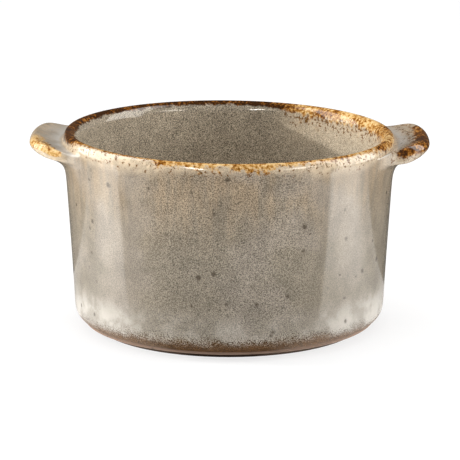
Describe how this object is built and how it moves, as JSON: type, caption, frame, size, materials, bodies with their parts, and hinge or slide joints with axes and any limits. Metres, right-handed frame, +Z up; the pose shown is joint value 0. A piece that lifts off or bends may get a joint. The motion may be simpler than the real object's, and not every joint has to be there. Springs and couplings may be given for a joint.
{
  "type": "ramekin",
  "caption": "Round stoneware ramekin with a gently tapered wall, rounded lip, low foot ring and a flat lug handle on each side, glazed inside and out.",
  "frame": {"origin": "on the surface it stands on, below the centre of the bowl", "axes": "+Z up along the bowl's axis, +X out through one lug, -Y towards the viewer"},
  "size_m": [0.1328, 0.11, 0.065],
  "materials": {
    "clay": "bare fired stoneware",
    "grey_glaze": "glossy speckled warm grey",
    "rust_glaze": "glossy, broken to rust and amber",
    "lug_glaze": "glossy, pooled pale at the root and rust at the edge"
  },
  "bodies": {
    "root": {"bowl": "clay", "left_lug": "clay", "right_lug": "clay", "inside_glaze": "grey_glaze", "outside_glaze": "grey_glaze", "rim_glaze": "rust_glaze", "left_lug_glaze": "lug_glaze", "right_lug_glaze": "lug_glaze"}
  },
  "joints": []
}
